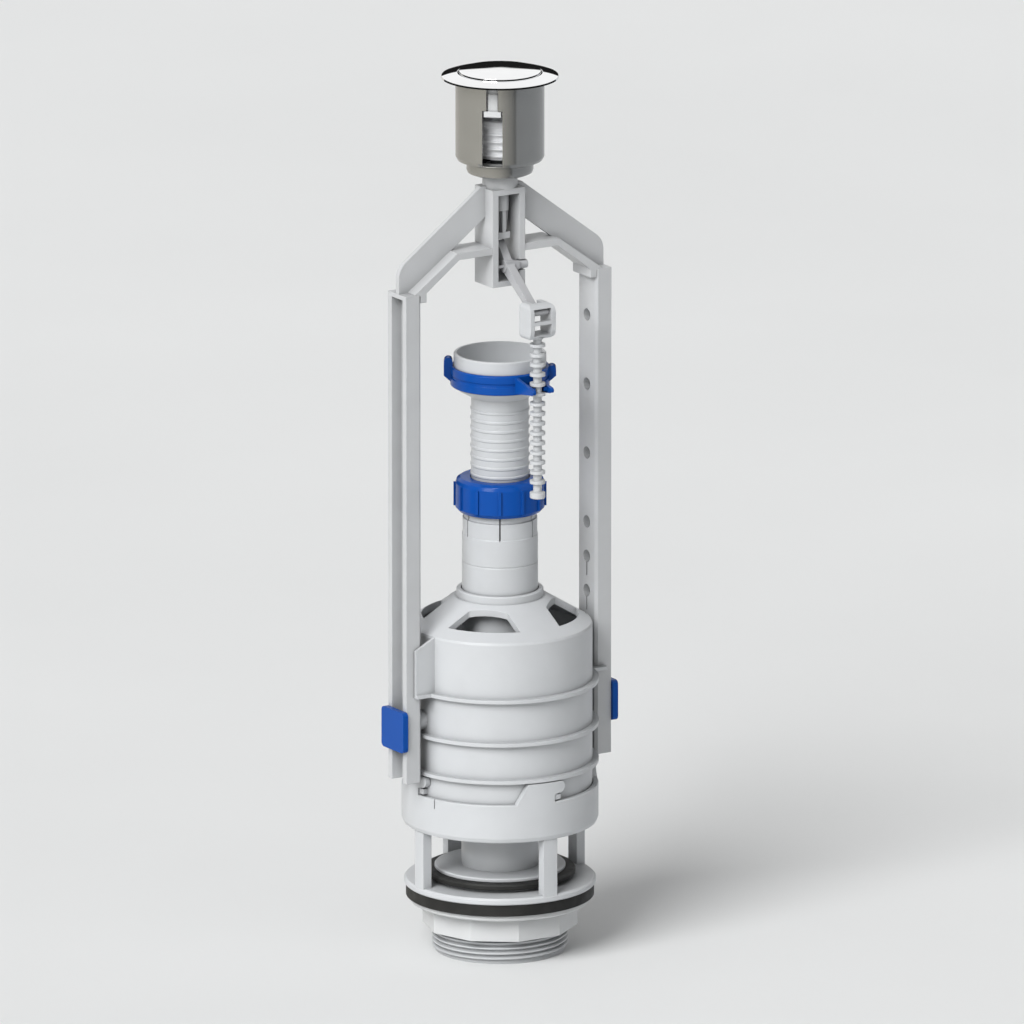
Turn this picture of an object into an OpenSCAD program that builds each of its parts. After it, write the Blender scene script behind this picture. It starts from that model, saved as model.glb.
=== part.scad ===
// Push-button toilet flush valve: seat cage, float valve with overflow tube,
// bridge on two legs, and a rocker lever in an open tower. Millimetres.
// Z is up, the lever is at the front (-Y), Z = 0 is the rim of the outlet.

/* [Outlet and seat] */
// Outside diameter of the outlet thread
thread_d = 59.6; // [50:0.1:72]
// Bore of the outlet
outlet_d = 53; // [42:0.5:54]
// Depth of the outlet below the cistern floor
spigot_h = 25; // [20:0.5:40]
// Thickness of the floor gasket
gasket_t = 5.2; // [3:0.1:8]
// Outside diameter of the floor flange
flange_d = 84.4; // [80:0.2:100]
// Thickness of the floor flange
flange_t = 3; // [2:0.1:5]
// Height of the raised seat lip
seat_h = 1.4; // [0.6:0.1:3]
// Height of the nut body under its washer
nut_body_h = 11; // [7:0.5:16]
// Thickness of the nut washer
nut_washer_t = 2.7; // [2:0.1:4]

/* [Cage] */
// Height of the water windows between the posts
window_h = 25; // [18:0.5:40]
// Width of a post
post_w = 7; // [4:0.2:10]
// Radial depth of a post
post_t = 4.2; // [3:0.2:6]
// Height of the cage ring
ring_h = 17.6; // [12:0.2:26]
// Wall of the cage ring
ring_wall = 2.3; // [1.6:0.1:4]
// Height of a bayonet hook above the ring
hook_h = 9; // [7:0.2:12]

/* [Body shell] */
// Outside diameter of the shell
shell_d = 81.2; // [76:0.2:96]
// Wall of the shell
shell_wall = 2; // [1.4:0.1:3]
// Height from the cage ring to the shoulder
shell_h = 73; // [60:0.5:100]
// Height of the cone above the shoulder
cone_h = 11.6; // [8:0.2:16]
// Height of the collar
collar_h = 3.4; // [2:0.1:8]
// Radius that the rings stand out from the shell
rib_out = 2.8; // [1:0.1:3.2]
// Thickness of the rings
rib_t = 1.6; // [1:0.1:2.4]
// Height of the lowest ring above the hooks
rib_low = 0.5; // [0.3:0.1:2]
// Height of the middle ring above the hooks
rib_mid = 17.4; // [10:0.1:24]
// Height of the top ring above the hooks
rib_high = 36.9; // [28:0.1:48]
// Width of the spokes between the cone's windows
spoke_w = 20; // [14:0.2:24]
// Radius that the cone's windows reach out to
window_reach = 34.5; // [31:0.1:36]
// Reach of the leg guides over the sides of a leg
guide_over = 4.2; // [2:0.1:6]

/* [Valve] */
// Outside diameter of the valve stem
stem_d = 33.4; // [30:0.1:35]
// Wall of the valve stem
stem_wall = 1.5; // [1.2:0.1:2]
// Diameter of the seal
seal_d = 66.4; // [60:0.2:68]
// Thickness of the seal
seal_t = 2.4; // [1.6:0.1:4]
// Diameter of the clamp plate
plate_d = 57.6; // [50:0.2:60]
// Thickness of the clamp plate
plate_t = 1.8; // [1.2:0.1:3]
// Diameter of the float
float_d = 64; // [52:0.5:66]
// Height of the float
float_h = 36; // [24:0.5:44]
// Height of the ring nut under the seal
retainer_h = 5; // [4:0.1:6]
// Length of stem between the collar and the tube nut
stem_show = 35.2; // [24:0.2:60]

/* [Overflow tube] */
// Height of the tube nut
nut_h = 15; // [11:0.2:20]
// Diameter of the tube nut over its ribs
nut_d = 40.8; // [38:0.2:44]
// Outside diameter of the overflow tube
tube_d = 25.3; // [22:0.1:26]
// Wall of the overflow tube
tube_wall = 1.5; // [1:0.1:2]
// Length from the tube nut to the cup's rim
tube_show = 55.9; // [50:0.2:90]
// Spacing of the rings on the tube
tube_pitch = 4.16; // [3.6:0.02:6]
// Diameter of the overflow cup
cup_d = 40.6; // [36:0.2:44]
// Depth of the overflow cup
cup_h = 17; // [15:0.2:24]

/* [Lift rod] */
// Distance of the rod in front of the axis
rod_out = 31; // [30:0.1:33]
// Diameter of the beads
bead_d = 6.8; // [5.6:0.1:7.2]
// Diameter of the rod between the beads
rod_neck_d = 3.8; // [3.4:0.1:4.8]
// Spacing of the beads
bead_pitch = 4.4; // [4:0.05:5.4]
// Depth of the clip ring's foot below the cup's rim
clip_drop = 14.5; // [13:0.1:16]
// Height of the fork above the clip ring's foot
fork_up = 4.4; // [3:0.1:6]
// Width of the cage at the rod's head
cage_w = 12.8; // [11:0.1:16]
// Depth of the cage from front to back
cage_d = 9.6; // [8:0.1:12]
// Height of the cage
cage_h = 16; // [12:0.2:20]

/* [Bridge] */
// Room between the shell's wall and the inner face of a leg
leg_gap = 4.3; // [4:0.1:11]
// Size of a leg away from the axis
leg_x = 8; // [6:0.1:12]
// Width of a leg from front to back
leg_y = 15; // [13:0.1:18]
// Wall of a leg
leg_wall = 3; // [2:0.1:3.4]
// Height of the cup's rim below the tower
tower_gap = 31.3; // [30:0.1:44]
// Height of the tower
tower_h = 43.6; // [42:0.2:52]
// Width of the tower
tower_w = 16.6; // [15.6:0.1:20]
// Depth of the tower from front to back
tower_y = 15; // [14.4:0.1:18]
// Side wall of the tower
tower_wall = 2.9; // [2:0.1:3]
// Diameter of the neck
neck_d = 15.5; // [14:0.1:18]
// Height of the neck
neck_h = 6; // [4:0.2:12]
// Diameter of the setting holes in the legs
set_hole_d = 5.5; // [4.6:0.1:6]
// Spacing of the setting holes
set_pitch = 15.6; // [12:0.1:20]
// Height of the locking hole above the foot of a leg
clip_up = 26.2; // [20:0.1:30]
// Depth of the arm shelf below the tower's top
shelf_drop = 28.7; // [25:0.1:32]
// Radius at the outer end of an arm
web_r = 9; // [4:0.5:11]
// Height of the lever's pivot above the tower's foot
pivot_up = 8.8; // [7:0.1:10]
// Height of the lever's nose above its pivot
nose_up = 8.5; // [7:0.1:10]
// Width of the lever's arms
lever_w = 3.8; // [3:0.1:5]

/* [Button] */
// Outside diameter of the button housing
housing_d = 39; // [37:0.1:44]
// Height of the wide part of the housing
housing_h = 37.4; // [34:0.2:50]
// Diameter of the lower step of the housing
step_d = 29.4; // [26:0.2:32]
// Height of the lower step
step_h = 5.4; // [4:0.2:8]
// Outside diameter of the bezel
bezel_d = 51.4; // [46:0.2:60]
// Rise of the bezel
bezel_h = 3.4; // [2.4:0.1:5]
// Travel of the button
press = 5; // [4:0.1:6]
// Rise of the cap's dome
dome_h = 1.2; // [0.4:0.1:2]
// Width of the plunger's foot
push_x = 5.8; // [4:0.1:7]
// Depth of the plunger's foot from front to back
push_y = 8.6; // [7:0.1:9]

/* [Fits] */
// Radial gap of parts that slide or turn in each other
slide_gap = 0.4; // [0.3:0.02:0.6]
// Gap of parts that only sit together
seat_gap = 0.1; // [0.05:0.01:0.2]

/* [Hidden] */
thread_r = thread_d / 2;
outlet_r = outlet_d / 2;
flange_r = flange_d / 2;
shell_r = shell_d / 2;
bore_r = shell_r - shell_wall;
stem_r = stem_d / 2;
stem_in = stem_r - stem_wall;
tube_r = tube_d / 2;
tube_in = tube_r - tube_wall;
cup_r = cup_d / 2;
nut_r = nut_d / 2;
housing_r = housing_d / 2;
// Depth that a shape sinks into the one it is moulded with
weld = 0.5;
// Heights up the valve
z_floor = spigot_h;
z_flange = z_floor + gasket_t;
z_deck = z_flange + flange_t;
z_seat = z_deck + seat_h;
z_plate = z_seat + seal_t;
z_foot = z_plate + plate_t;
z_ring = z_deck + window_h;
z_hook = z_ring + ring_h;
z_shoulder = z_hook + shell_h;
z_cone = z_shoulder + cone_h;
z_collar = z_cone + collar_h;
z_nut = z_collar + stem_show;
z_nut_top = z_nut + nut_h;
z_cup = z_nut_top + tube_show;
z_tower = z_cup + tower_gap;
z_top = z_tower + tower_h;
z_house = z_top + neck_h;
z_wide = z_house + step_h;
z_rim = z_wide + housing_h;
// Nut under the floor
z_free = z_floor - nut_washer_t - nut_body_h - 0.2;
runout_r = thread_r - 0.35;
nut_bore_r = thread_r + 0.05;
// Cage ring and bayonet
ring_in = shell_r + slide_gap;
ring_r = ring_in + ring_wall;
ledge_t = 2.4;
post_out = min(flange_r - 0.2, ring_r - 1.2);
lug_h = 2.4;
lug_w = 3;
lug_x = 1.8;
lug_z = z_hook + 0.7;
hook_top = z_hook + hook_h;
hook_end = 7;
hook_r = 2.6;
hook_foot = 16.4;
hook_ramp = 11.2;
hook_root = 1.4;
mark_turn = 196.4;
rib_z = [hook_top + rib_low, hook_top + rib_mid, hook_top + rib_high];
// Stem foot that the seal is clamped on
foot_r = stem_in + 0.7;
foot_bore = foot_r - 1.6;
stem_foot_r = stem_r + 0.3;
guide_bore = stem_r + slide_gap;
// Float
float_z = z_hook + 13.5;
float_in = stem_foot_r + seat_gap;
// Overflow tube and its clip
z_cup_low = z_cup - cup_h;
clip_in = cup_r + seat_gap;
clip_r = clip_in + 1.4;
clip_z = z_cup - clip_drop;
clip_h = 8.7;
fork_z = clip_z + fork_up;
fork_t = 1.6;
// Lever: pivot, nose under the plunger, finger in the cage
pivot_y = -(tower_y / 2 - 1.3);
pivot_z = z_tower + pivot_up;
pin_r = 2;
stub = 1.4;
stub_r = 0.7;
hub_r = 2.8;
nose_y = pivot_y + 6.5;
nose_z = pivot_z + nose_up;
nose_r = 1.9;
nose_gap = 1.4;
// Cage at the rod's head
cage_wall = 2;
cage_top = pivot_z - 11.5;
cage_z = cage_top - cage_h;
rod_end = z_nut_top - 3.3;
bar_r = 1.5;
bar_w = cage_w - 2 * cage_wall - 2 * slide_gap;
tip_y = -(rod_out + 1.5);
tip_z = cage_top - cage_wall - slide_gap - bar_r;
arm_y = -(rod_out - 4);
arm_z = tip_z + 0.4;
// Bridge
leg_in = shell_r + leg_gap;
leg_out = leg_in + leg_x;
leg_z = hook_top - 1.7;
leg_top = z_tower + 1.7;
clip_hole_z = leg_z + clip_up;
open_w = tower_w - 2 * tower_wall;
plate_top = 2.6;
back_wall = 2;
spigot_r = 6.4;
spigot_up = 4;
push_bore = 4.4;
arm_slope = 0.75;
web_t = 2.5;
shelf_z = z_top - shelf_drop;
shelf_t = 3;
shelf_bend = 19.6;
back_slot = 19.4;
lip_x = 2.6;
lip_h = 3.6;
// Button
house_in = housing_r - 2.2;
cap_bore = housing_r - 1.1;
cap_r = cap_bore - slide_gap;
rim_up = 0.8;
bezel_crown = 0.7;
step_in = step_d / 2 - 2.2;
window_w = 9;
window_turn = -42;
window_top = z_rim - 11;
window_low = z_wide + 1.3;
carrier_z = z_rim - 4.6;
carrier_r = cap_r - 0.3;
carrier_t = 3.6;
snap_w = 4.4;
snap_t = 1.6;
toe_w = 7.6;
toe_h = 2.6;
toe_z = window_top - 2.8;
screw_in = 7.3;
screw_r = 9.6;
screw_z = z_house + 2 + press + 0.6;
push_r = push_bore - slide_gap - 0.1;
tip_low = nose_z + nose_r + nose_gap;
spring_r = 5.5;
wire_r = 0.5;
turns = 6;
// Clip plates on the legs
clip_plate_y = leg_y + 3.2;
clip_plate_z = 18.2;
clip_plate_t = 2.6;
clip_low = clip_hole_z - 2.6;

light_grey = [0.84, 0.85, 0.86];
tube_grey = [0.78, 0.79, 0.8];
mid_grey = [0.66, 0.67, 0.68];
dark_grey = [0.55, 0.55, 0.52];
blue = [0.08, 0.3, 0.66];
rubber = [0.12, 0.12, 0.12];
chrome = [0.8, 0.81, 0.83];
white = [0.9, 0.9, 0.9];

// A ring or sleeve from z0 to z1
module sleeve(r_out, r_in, z0, z1, n = 48) {
    rotate_extrude($fn = n)
        translate([r_in, z0])
            square([r_out - r_in, z1 - z0]);
}

// A block centred on the Y axis
module slab(x0, x1, y, z0, z1) {
    translate([x0, -y / 2, z0])
        cube([x1 - x0, y, z1 - z0]);
}

// A side view in X and Z drawn as a plate of thickness t centred on Y = 0
module side_plate(t) {
    translate([0, t / 2, 0])
        rotate([90, 0, 0])
            linear_extrude(height = t)
                children();
}

// A cylinder lying along X, centred on X = 0
module cross_pin(y, z, r, w, n = 32) {
    translate([-w / 2, y, z])
        rotate([0, 90, 0])
            cylinder(r = r, h = w, $fn = n);
}

// A flat outline w by h with round corners, centred
module round_rect(w, h, r) {
    square([w - 2 * r, h], center = true);
    square([w, h - 2 * r], center = true);
    for (sx = [-1, 1], sy = [-1, 1])
        translate([sx * (w / 2 - r), sy * (h / 2 - r)])
            circle(r = r, $fn = 24);
}

// Outline of a bayonet hook: ramp on one side, round nose over the lug on the other
module hook_outline() {
    polygon([
        [-hook_foot, z_hook - weld], [-hook_ramp, hook_top], [hook_end - hook_r, hook_top],
        [hook_end - hook_r, hook_top - 2 * hook_r], [hook_root, hook_top - 2 * hook_r - 0.6],
        [hook_root, z_hook - weld]
    ]);
    translate([hook_end - hook_r, hook_top - hook_r])
        circle(r = hook_r, $fn = 32);
}

// Seat, floor flange and outlet, with posts and the bayonet ring above them
module base_cage() {
    color(light_grey)
        difference() {
            union() {
                rotate_extrude($fn = 64)
                    polygon([
                        [outlet_r, 0], [thread_r - 0.9, 0], [thread_r, 0.9], [thread_r, z_free],
                        [runout_r, z_free], [runout_r, z_flange], [flange_r - 0.5, z_flange],
                        [flange_r, z_flange + 0.5], [flange_r, z_deck - 0.8], [flange_r - 0.8, z_deck],
                        [outlet_r + 3.6, z_deck], [outlet_r + 2.8, z_seat], [outlet_r + 0.8, z_seat],
                        [outlet_r, z_seat - 0.8]
                    ]);
                for (a = [0 : 90 : 270])
                    rotate([0, 0, a])
                        intersection() {
                            sleeve(post_out, post_out - post_t, z_deck - 1, z_ring + 1);
                            slab(0, flange_r, post_w, z_deck - 1, z_ring + 1);
                        }
                rotate_extrude($fn = 64)
                    polygon([
                        [post_out - post_t - 0.4, z_ring], [ring_r - 2.4, z_ring],
                        [ring_r - 0.7, z_ring + 0.7], [ring_r, z_ring + 2.4], [ring_r, z_hook - 0.3],
                        [ring_r - 0.3, z_hook], [ring_in, z_hook], [ring_in, z_ring + ledge_t],
                        [post_out - post_t - 0.4, z_ring + ledge_t]
                    ]);
                for (a = [0 : 90 : 270])
                    rotate([0, 0, a])
                        intersection() {
                            sleeve(ring_r, ring_in, z_hook - 1, hook_top);
                            translate([0, -ring_in + 6, 0])
                                rotate([90, 0, 0])
                                    linear_extrude(height = 10)
                                        hook_outline();
                        }
            }
            rotate([0, 0, mark_turn])
                slab(ring_r - 0.5, ring_r + 1, 0.5, z_hook - 4.2, z_hook + 1);
        }
}

// Rubber ring between the flange and the cistern floor
module flange_gasket() {
    color(rubber)
        sleeve(flange_r - 0.8, thread_r + 0.3, z_floor, z_flange, 64);
}

// Ten-sided nut with its round washer
module back_nut() {
    color(white)
        difference() {
            union() {
                rotate_extrude($fn = 64)
                    polygon([
                        [thread_r - 1, z_floor - nut_washer_t], [flange_r - 3, z_floor - nut_washer_t],
                        [flange_r - 2.4, z_floor - nut_washer_t + 0.6], [flange_r - 2.4, z_floor],
                        [thread_r - 1, z_floor]
                    ]);
                translate([0, 0, z_free + 0.2])
                    cylinder(r = thread_r + 4.4, h = nut_body_h + 0.5, $fn = 10);
            }
            translate([0, 0, -1])
                cylinder(r = nut_bore_r, h = z_floor + 2, $fn = 64);
        }
}

// Ring nut that holds the seal from below, with spanner notches
module seal_retainer() {
    ring_out = outlet_r - 3;
    z_low = z_seat - retainer_h;
    notch_w = 4;
    notch_in = 2.5;
    notch_h = 2.4;
    color(light_grey)
        difference() {
            sleeve(ring_out, foot_r + seat_gap, z_low, z_seat, 48);
            for (a = [45 : 90 : 315])
                rotate([0, 0, a])
                    slab(ring_out - notch_in, outlet_r, notch_w, z_low - 1, z_low + notch_h);
        }
}

// Rubber disc that closes the seat
module valve_seal() {
    color(rubber)
        rotate_extrude($fn = 64)
            polygon([
                [foot_r + seat_gap, z_seat], [seal_d / 2 - 0.4, z_seat], [seal_d / 2, z_seat + 0.4],
                [seal_d / 2, z_plate - 0.6], [seal_d / 2 - 0.6, z_plate], [foot_r + seat_gap, z_plate]
            ]);
}

// Stiff plate over the seal
module clamp_plate() {
    color(light_grey)
        rotate_extrude($fn = 64)
            polygon([
                [foot_r + seat_gap, z_plate], [plate_d / 2 - 0.3, z_plate], [plate_d / 2, z_plate + 0.3],
                [plate_d / 2, z_foot - 0.5], [plate_d / 2 - 0.5, z_foot], [foot_r + seat_gap, z_foot]
            ]);
}

// Outer tube of the valve, from the clamp plate to the tube nut
module valve_stem() {
    z_split = z_nut - 10.6;
    z_seam = z_collar + 12;
    slit_w = 0.6;
    color(tube_grey)
        difference() {
            rotate_extrude($fn = 48)
                polygon([
                    [foot_bore, z_seat - retainer_h], [foot_r, z_seat - retainer_h], [foot_r, z_foot],
                    [stem_foot_r, z_foot], [stem_foot_r, float_z + float_h],
                    [stem_r, float_z + float_h + 1], [stem_r, z_seam],
                    [stem_r - 0.25, z_seam + 0.2], [stem_r - 0.25, z_seam + 0.6],
                    [stem_r - 0.05, z_seam + 0.8], [stem_r - 0.05, z_split],
                    [stem_r - 0.3, z_split + 0.2], [stem_r - 0.3, z_nut - 3.2], [stem_r - 0.9, z_nut - 3],
                    [stem_r - 0.9, z_nut + 0.6], [stem_r - 0.3, z_nut + 1.2],
                    [stem_r - 0.3, z_nut + nut_h - 6], [stem_in - 0.4, z_nut + nut_h - 6],
                    [stem_in - 0.4, z_nut - 4], [stem_in, z_nut - 5], [stem_in, z_foot + 4],
                    [foot_bore, z_foot + 2]
                ]);
            for (a = [58 : 60 : 358])
                rotate([0, 0, a])
                    slab(stem_in - 2, stem_r + 1, slit_w, z_split, z_nut_top);
        }
}

// Upturned cup that floats the valve while the cistern empties
module float_cup() {
    wall = 1.6;
    float_r = float_d / 2;
    z_roof = float_z + float_h;
    color(rubber)
        rotate_extrude($fn = 48)
            polygon([
                [float_in, float_z], [float_in + wall, float_z], [float_in + wall, z_roof - 2],
                [float_r - wall, z_roof - 2], [float_r - wall, float_z], [float_r, float_z],
                [float_r, z_roof - wall], [float_r - wall, z_roof], [float_in, z_roof]
            ]);
}

// Round-cornered water window in the cone, as a cutter
module cone_window() {
    corner = 1;
    near = guide_bore + 6.6;
    far = window_reach + 4;
    edge = (spoke_w / 2 + corner) * sqrt(2);
    intersection() {
        hull()
            for (d = [near, far], s = [-1, 1])
                translate([d, s * (d - edge), z_shoulder - 4])
                    cylinder(r = corner, h = cone_h + 8, $fn = 24);
        translate([0, 0, z_shoulder - 4])
            cylinder(r = window_reach, h = cone_h + 8, $fn = 64);
    }
}

// Plate behind a leg with a sloping top, and a tab on each side in line with the top ring
module leg_guide() {
    in_y = leg_y / 2 + 0.3;
    plate_w = 1.6;
    tab_w = 2.8;
    root = shell_r - 2.6;
    reach = leg_in + guide_over;
    translate([0, in_y + plate_w / 2, 0])
        side_plate(plate_w)
            polygon([
                [root, rib_z[2]], [reach, rib_z[2]], [reach, z_shoulder - 5.6],
                [shell_r - 1, z_shoulder - 0.8], [root, z_shoulder - 0.8]
            ]);
    for (s = [-1, 1])
        translate([0, s * (in_y + tab_w / 2), 0])
            slab(root, reach, tab_w, rib_z[2], rib_z[2] + rib_t);
}

// Cylinder with rings and lugs, cone with windows, collar, and guides for the legs
module body_shell() {
    z0 = z_ring + ledge_t + 0.3;
    color(light_grey)
        difference() {
            union() {
                rotate_extrude($fn = 64)
                    polygon([
                        [bore_r, z0], [shell_r, z0], [shell_r, z_shoulder - 1.4],
                        [shell_r - 0.4, z_shoulder - 0.4],
                        [shell_r - 1.4, z_shoulder + 0.2], [guide_bore + 3.2, z_cone],
                        [guide_bore + 2, z_cone],
                        [guide_bore + 2, z_collar - 0.4], [guide_bore + 1.6, z_collar],
                        [guide_bore, z_collar],
                        [guide_bore, z_cone - 2.4], [guide_bore + 2.4, z_cone - 2.4],
                        [bore_r - 1.4, z_shoulder - 2],
                        [bore_r, z_shoulder - 3.6]
                    ]);
                for (z = rib_z)
                    sleeve(shell_r + rib_out, shell_r - 0.5, z, z + rib_t, 64);
                for (a = [0 : 90 : 270])
                    rotate([0, 0, a])
                        intersection() {
                            sleeve(ring_r - 0.5, shell_r - 0.5, lug_z, lug_z + lug_h);
                            translate([lug_x, -ring_r - 1, lug_z - 1])
                                cube([lug_w, ring_r, lug_h + 2]);
                        }
                for (a = [0, 180])
                    rotate([0, 0, a]) {
                        leg_guide();
                        translate([shell_r - 1.4, 0, clip_hole_z])
                            rotate([0, 90, 0])
                                cylinder(d = set_hole_d + 3.6, h = leg_in - 0.3 - shell_r + 1.4, $fn = 32);
                    }
            }
            for (a = [45 : 90 : 315])
                rotate([0, 0, a])
                    cone_window();
            for (m = [0, 1])
                mirror([m, 0, 0])
                    translate([shell_r - 3, 0, clip_hole_z])
                        rotate([0, 90, 0])
                            cylinder(d = set_hole_d + 0.3, h = leg_in - shell_r + 4, $fn = 32);
        }
}

// Rubber ring that the tube nut squeezes on to the tube
module tube_seal() {
    color(rubber)
        sleeve(stem_r - 0.6, tube_r + 0.6, z_nut_top - 6, z_nut_top - 3.2, 40);
}

// Blue nut with narrow grip ribs
module tube_nut() {
    color(blue)
        difference() {
            union() {
                rotate_extrude($fn = 60)
                    polygon([
                        [tube_r + slide_gap, z_nut], [nut_r - 2.2, z_nut], [nut_r - 0.8, z_nut + 1.6],
                        [nut_r - 0.8, z_nut_top - 2.6], [nut_r - 1.4, z_nut_top - 1],
                        [nut_r - 3, z_nut_top],
                        [tube_r + slide_gap, z_nut_top]
                    ]);
                for (a = [28 : 30 : 358])
                    rotate([0, 0, a])
                        slab(nut_r - 2, nut_r, 1.3, z_nut + 1.8, z_nut_top - 2.6);
            }
            translate([0, 0, z_nut - 1])
                cylinder(r = stem_r + slide_gap - 0.3, h = nut_h - 2, $fn = 48);
        }
}

// Ringed overflow tube with its cup
module overflow_tube() {
    n_rings = floor((z_cup_low - 9.5 - z_nut_top) / tube_pitch);
    color(tube_grey)
        rotate_extrude($fn = 40)
            polygon(concat(
                [[tube_in, z_collar - 12], [tube_r, z_collar - 12]],
                [for (i = [0 : n_rings], k = [0 : 3])
                    [tube_r + (k == 1 || k == 2 ? 0.35 : 0),
                     z_nut_top + 1 + tube_pitch * i + [0, 0.3, 1.1, 1.4][k]]],
                [[tube_r, z_cup_low - 2.6], [cup_r - 2, z_cup_low + 0.6], [cup_r, z_cup_low + 2],
                 [cup_r, z_cup - 0.4],
                 [cup_r - 0.4, z_cup], [cup_r - 1.4, z_cup], [cup_r - 1.4, z_cup_low + 3],
                 [tube_in, z_cup_low - 1]]
            ));
}

// Blue ring on the cup, with two finger ears and the fork for the rod
module rod_clip_ring() {
    ear_in = clip_in + 0.3;
    ear_t = 3.9;
    tip_r = 1.2;
    color(blue) {
        rotate_extrude($fn = 60)
            polygon([
                [clip_in, clip_z], [clip_r - 0.4, clip_z], [clip_r, clip_z + 0.4], [clip_r, clip_z + 3.6],
                [clip_r - 0.5, clip_z + 4], [clip_r - 0.5, clip_z + 4.8], [clip_r, clip_z + 5.2],
                [clip_r, clip_z + clip_h - 0.5], [clip_r - 0.5, clip_z + clip_h],
                [clip_in, clip_z + clip_h]
            ]);
        for (ear = [[148, 12.4], [-32, 9]])
            rotate([0, 0, ear[0]])
                side_plate(5)
                    union() {
                        polygon([
                            [ear_in, clip_z + 1], [ear_in + ear_t, clip_z + 4.4],
                            [ear_in + ear_t, clip_z + ear[1] - ear_t / 2],
                            [ear_in, clip_z + ear[1] - ear_t / 2]
                        ]);
                        translate([ear_in + ear_t / 2, clip_z + ear[1] - ear_t / 2])
                            circle(r = ear_t / 2, $fn = 24);
                    }
        for (s = [-1, 1]) {
            translate([s * (bead_d / 2 + 1.2) - 0.8, 0, 0])
                rotate([90, 0, 90])
                    linear_extrude(height = 1.6)
                        union() {
                            polygon([
                                [-clip_in - 0.6, clip_z + 0.6], [-rod_out - 3.8, fork_z - 0.4 - tip_r],
                                [-rod_out - 3.8, fork_z - 0.4 + tip_r], [-clip_in - 0.6, clip_z + 8]
                            ]);
                            translate([-rod_out - 3.8, fork_z - 0.4])
                                circle(r = tip_r, $fn = 24);
                        }
            translate([s > 0 ? rod_neck_d / 2 + 0.25 : -bead_d / 2 - 1.2, -rod_out - 2, fork_z - fork_t / 2])
                cube([bead_d / 2 + 1.2 - rod_neck_d / 2 - 0.25, rod_out + 2 - clip_in - 0.4, fork_t]);
        }
    }
}

// Beaded rod with a square cage at its head
module lift_rod() {
    foot_h = 3;
    below = floor((fork_z - rod_end - foot_h - 2) / bead_pitch + 0.5);
    above = floor((cage_z - 2 - fork_z - bead_pitch / 2) / bead_pitch);
    neck_r = rod_neck_d / 2;
    bead_r = bead_d / 2;
    color(light_grey)
        translate([0, -rod_out, 0]) {
            rotate_extrude($fn = 20)
                polygon(concat(
                    [[0, rod_end], [bead_r - 0.3, rod_end], [bead_r, rod_end + 0.4],
                     [bead_r, rod_end + foot_h - 0.4],
                     [neck_r, rod_end + foot_h]],
                    [for (i = [-below : above], k = [0 : 3])
                        [[neck_r, bead_r, bead_r, neck_r][k],
                         fork_z + bead_pitch * (i + 0.5) + [-0.95, -0.65, 0.65, 0.95][k]]],
                    [[neck_r, cage_z - 0.6], [neck_r + 1.8, cage_z + 1], [0, cage_z + 1]]
                ));
            difference() {
                intersection() {
                    side_plate(cage_d)
                        translate([0, cage_top - cage_h / 2])
                            round_rect(cage_w, cage_h, 2.2);
                    translate([-cage_w / 2, 2.5, cage_top - cage_h / 2])
                        rotate([90, 0, 90])
                            linear_extrude(height = cage_w)
                                round_rect(cage_d + 5, cage_h, 4.4);
                }
                slab(cage_wall - cage_w / 2, cage_w / 2 - cage_wall, cage_d + 2,
                    cage_z + 2.2, cage_top - cage_wall);
                translate([-lever_w / 2 - 0.6, 0, cage_top - cage_wall - 1])
                    cube([lever_w + 1.2, cage_d, cage_wall + 2]);
            }
            translate([0.8 - cage_w / 2, -cage_d / 2, tip_z - 5.2])
                cube([cage_w - 1.6, 2, 1.6]);
        }
}

// One leg: a channel open outwards with setting holes
module bridge_leg() {
    difference() {
        translate([0, 0, leg_z])
            linear_extrude(height = leg_top - leg_z)
                polygon([
                    [leg_in, 1.2 - leg_y / 2], [leg_in + 1.2, -leg_y / 2], [leg_out, -leg_y / 2],
                    [leg_out, leg_y / 2], [leg_in + 1.2, leg_y / 2], [leg_in, leg_y / 2 - 1.2]
                ]);
        slab(leg_in + leg_wall, leg_out + 1, leg_y - 2 * leg_wall, leg_z - 1, leg_top - 2);
        for (k = [0, 1, 2, 3, 4, 5, 7, 9, 11])
            translate([leg_in - 1, 0, clip_hole_z + k * set_pitch]) {
                rotate([0, 90, 0])
                    cylinder(d = set_hole_d, h = leg_wall + 2, $fn = 24);
                if (k > 0 && k < 5)
                    slab(0, leg_wall + 2, 1, -set_hole_d / 2 - 6, 0);
            }
    }
}

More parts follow.
